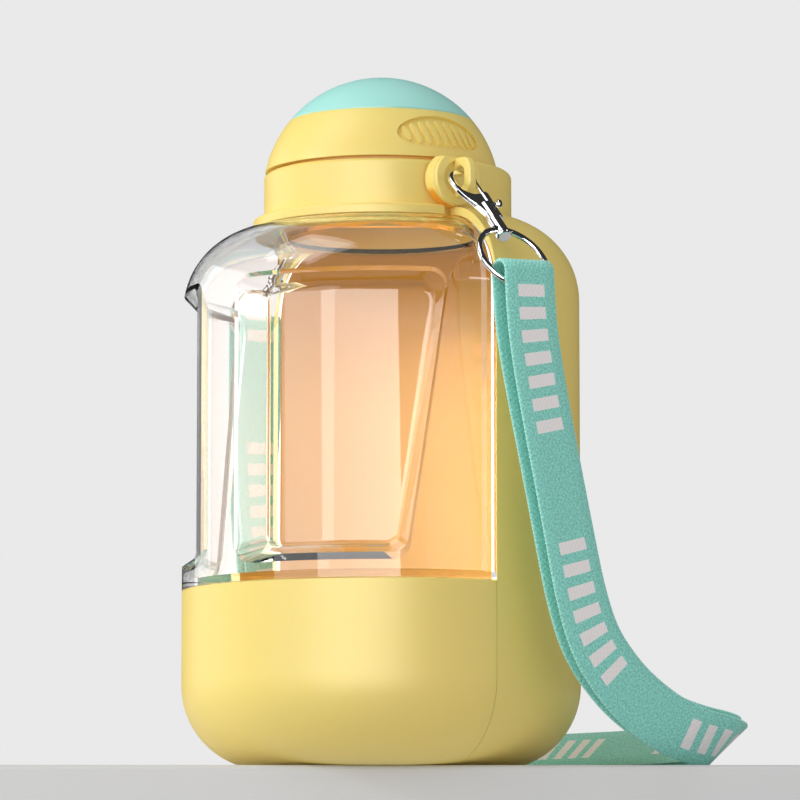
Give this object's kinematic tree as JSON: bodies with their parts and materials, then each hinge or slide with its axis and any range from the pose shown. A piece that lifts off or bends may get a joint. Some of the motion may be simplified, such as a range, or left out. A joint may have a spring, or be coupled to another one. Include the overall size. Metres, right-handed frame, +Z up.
{
  "type": "pet travel water and food bottle",
  "caption": "Clear travel bottle for pets with a hinged half-shell drinking trough, food cup base, ball lid with press valve, and a clip-on carrying strap.",
  "frame": {"origin": "centre of the flat foot that the bottle stands on", "axes": "+Z up along the bottle's axis; the clear front of the tank faces -Y; the closed trough wraps the +Y side; the trough's hinge runs along X at z = 0.174 m"},
  "size_m": [0.1567, 0.154, 0.21],
  "materials": {
    "tank_clear": "clear, polished",
    "yellow_plastic": "satin",
    "mint_plastic": "satin",
    "seal_rubber": "matt",
    "metal": "polished",
    "spring_steel": "bright wire",
    "webbing": "woven"
  },
  "bodies": {
    "bottle": {"tank": "tank_clear", "base_cup": "yellow_plastic", "base_seal": "seal_rubber", "neck_collar": "yellow_plastic", "strap_outer_run": "webbing", "strap_inner_run": "webbing", "pivot_lug_right": "mint_plastic", "hook_frame_right": "metal", "bolt_spring_right": "spring_steel", "hook_swivel_right": "metal", "strap_ring_right": "metal", "pivot_lug_left": "mint_plastic", "hook_frame_left": "metal", "bolt_spring_left": "spring_steel", "hook_swivel_left": "metal", "strap_ring_left": "metal"},
    "trough": {"trough": "yellow_plastic"},
    "lid": {"dome_ring": "yellow_plastic", "lid_plug": "yellow_plastic", "lid_seal": "seal_rubber", "neck_gasket": "seal_rubber", "return_spring": "spring_steel"},
    "cap": {"outlet_cap": "mint_plastic", "valve_stem": "mint_plastic", "valve_washer": "seal_rubber"},
    "gate_right": {"hook_bolt_right": "metal"},
    "gate_left": {"hook_bolt_left": "metal"}
  },
  "joints": [
    {"name": "trough_swing", "type": "hinge", "parent": "bottle", "child": "trough", "pos_m": [0, 0, 0.174], "axis": [1, 0, 0], "range_deg": [0, 155]},
    {"name": "lid_twist", "type": "hinge", "parent": "bottle", "child": "lid", "pos_m": [0, 0, 0.1809], "axis": [0, 0, 1], "range_deg": [0, 90]},
    {"name": "cap_press", "type": "slide", "parent": "lid", "child": "cap", "axis": [0, 0, -1], "range_m": [0, 0.003], "stiffness_N_per_m": 1500, "springref_m": -0.001, "deforming": ["return_spring"]},
    {"name": "gate_right_slide", "type": "slide", "parent": "bottle", "child": "gate_right", "axis": [0.6907, 0.0152, -0.723], "range_m": [0, 0.0032], "stiffness_N_per_m": 700, "springref_m": -0.001, "deforming": ["bolt_spring_right"]},
    {"name": "gate_left_slide", "type": "slide", "parent": "bottle", "child": "gate_left", "axis": [-0.6907, 0.0152, -0.723], "range_m": [0, 0.0032], "stiffness_N_per_m": 700, "springref_m": -0.001, "deforming": ["bolt_spring_left"]}
  ]
}
